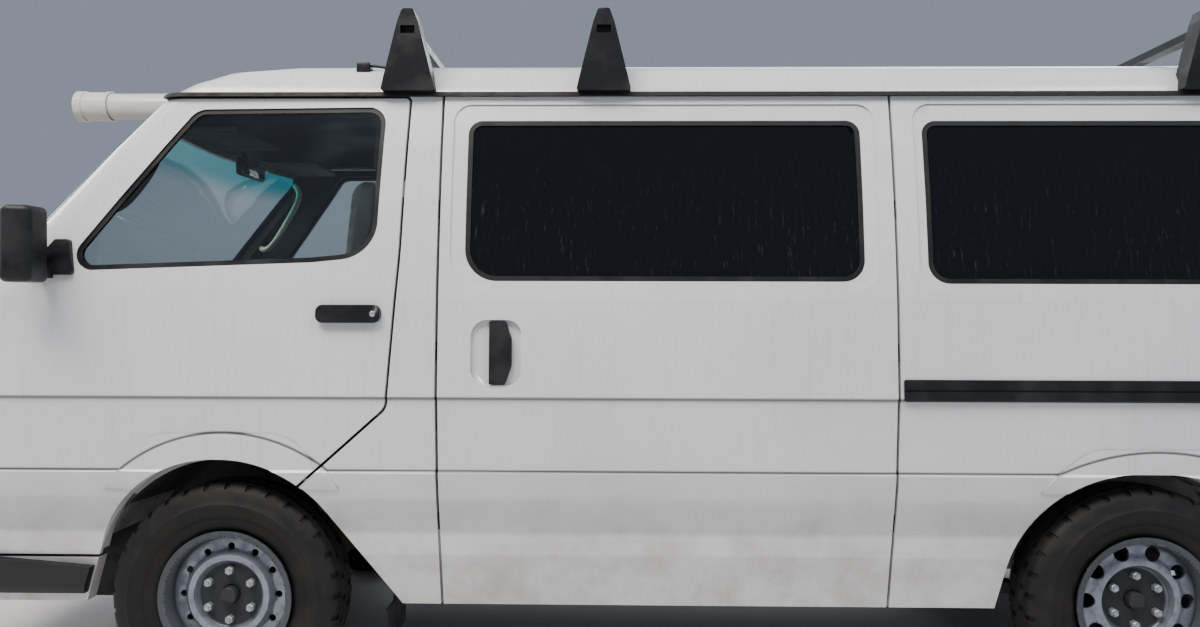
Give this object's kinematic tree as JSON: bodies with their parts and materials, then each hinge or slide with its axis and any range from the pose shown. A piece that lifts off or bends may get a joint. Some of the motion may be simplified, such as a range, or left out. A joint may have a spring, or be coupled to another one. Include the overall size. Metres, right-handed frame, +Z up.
{
  "type": "panel van",
  "caption": "One-box forward-control panel van with hinged cab doors, sliding side doors, lifting tailgate and a roof rack carrying a capped tube.",
  "frame": {"origin": "on the ground at the middle of the floor plan that the van covers", "axes": "+X to the rear, +Y to the van's right, +Z up"},
  "size_m": [4.821, 1.9568, 2.0703],
  "materials": {
    "white_paint": "weathered gloss white",
    "clear_glass": "clear with a green cast",
    "tinted_glass": "dark film",
    "black_rubber": "matt",
    "black_plastic": "grained",
    "lamp_clear": "clear lens",
    "lamp_amber": "amber lens",
    "lamp_red": "red lens",
    "tyre_rubber": "matt",
    "silver_steel": "silver lacquer",
    "chassis_black": "chassis black",
    "cast_iron": "rough",
    "seat_cloth": "woven",
    "floor_paint": "painted pressing",
    "pvc": "off-white pipe"
  },
  "bodies": {
    "body": {"carrier_tube": "pvc", "chassis_rails": "chassis_black", "dashboard": "black_plastic", "engine": "cast_iron", "exhaust": "cast_iron", "floor_pan": "floor_paint", "front_bumper": "black_plastic", "front_seats": "seat_cloth", "front_suspension": "chassis_black", "front_tow_plate": "chassis_black", "fuel_tank": "chassis_black", "grille": "black_plastic", "gutters": "black_rubber", "headlamps": "lamp_clear", "hinges": "chassis_black", "indicators": "lamp_amber", "mud_flaps": "black_rubber", "nose_panel": "white_paint", "rail_covers": "black_plastic", "rear_axle": "cast_iron", "rear_bumper": "black_plastic", "rear_frame": "white_paint", "roof_panel": "white_paint", "roof_rack": "black_plastic", "rubber_seals": "black_rubber", "side_glass": "tinted_glass", "side_panel_left": "white_paint", "side_panel_right": "white_paint", "sliding_door_handles": "black_plastic", "sliding_door_left": "white_paint", "sliding_door_right": "white_paint", "spare_wheel": "tyre_rubber", "tail_lamps": "lamp_red", "tube_clamps": "silver_steel", "windscreen": "clear_glass", "wipers": "black_plastic"},
    "front_door_left": {"front_door_left": "white_paint", "front_door_glass_left": "clear_glass", "front_door_fittings_left": "black_plastic"},
    "knuckle_left": {"knuckle_left": "cast_iron"},
    "wheel_front_left": {"tyre_front_left": "tyre_rubber", "rim_front_left": "silver_steel"},
    "wheel_rear_left": {"tyre_rear_left": "tyre_rubber", "rim_rear_left": "silver_steel"},
    "front_door_right": {"front_door_right": "white_paint", "front_door_glass_right": "clear_glass", "front_door_fittings_right": "black_plastic"},
    "knuckle_right": {"knuckle_right": "cast_iron"},
    "wheel_front_right": {"tyre_front_right": "tyre_rubber", "rim_front_right": "silver_steel"},
    "wheel_rear_right": {"tyre_rear_right": "tyre_rubber", "rim_rear_right": "silver_steel"},
    "tailgate": {"tailgate": "white_paint", "tailgate_glass": "tinted_glass", "tailgate_fittings": "black_plastic"},
    "nose_lid": {"nose_lid": "white_paint"},
    "steering_wheel": {"steering_wheel": "black_plastic"}
  },
  "joints": [
    {"name": "front_door_left_hinge", "type": "hinge", "parent": "body", "child": "front_door_left", "pos_m": [-1.8985, -0.846, 0.9], "axis": [0, 0, -1], "range_deg": [0, 65]},
    {"name": "front_door_right_hinge", "type": "hinge", "parent": "body", "child": "front_door_right", "pos_m": [-1.8985, 0.846, 0.9], "axis": [0, 0, 1], "range_deg": [0, 65]},
    {"name": "tailgate_hinge", "type": "hinge", "parent": "body", "child": "tailgate", "pos_m": [2.2761, 0, 1.752], "axis": [0, -1, 0], "range_deg": [0, 85]},
    {"name": "nose_lid_hinge", "type": "hinge", "parent": "body", "child": "nose_lid", "pos_m": [-2.0685, 0, 1.162], "axis": [0, 1, 0], "range_deg": [0, 50]},
    {"name": "steering", "type": "hinge", "parent": "body", "child": "steering_wheel", "pos_m": [-1.5995, 0.38, 1.165], "axis": [0.6157, 0, 0.788], "range_deg": [-540, 540]},
    {"name": "steer_left", "type": "hinge", "parent": "body", "child": "knuckle_left", "pos_m": [-1.2045, -0.66, 0.325], "axis": [0, 0, 1], "range_deg": [-36, 36]},
    {"name": "steer_right", "type": "hinge", "parent": "body", "child": "knuckle_right", "pos_m": [-1.2045, 0.66, 0.325], "axis": [0, 0, 1], "range_deg": [-36, 36]},
    {"name": "spin_front_left", "type": "hinge", "parent": "knuckle_left", "child": "wheel_front_left", "pos_m": [-1.2045, -0.725, 0.325], "axis": [0, 1, 0], "continuous": true},
    {"name": "spin_rear_left", "type": "hinge", "parent": "body", "child": "wheel_rear_left", "pos_m": [1.3655, -0.725, 0.325], "axis": [0, 1, 0], "continuous": true},
    {"name": "spin_front_right", "type": "hinge", "parent": "knuckle_right", "child": "wheel_front_right", "pos_m": [-1.2045, 0.725, 0.325], "axis": [0, 1, 0], "continuous": true},
    {"name": "spin_rear_right", "type": "hinge", "parent": "body", "child": "wheel_rear_right", "pos_m": [1.3655, 0.725, 0.325], "axis": [0, 1, 0], "continuous": true}
  ],
  "couplings": [
    {"joint": "steer_left", "follows": "steering", "ratio": 0.064815},
    {"joint": "steer_right", "follows": "steering", "ratio": 0.064815}
  ]
}
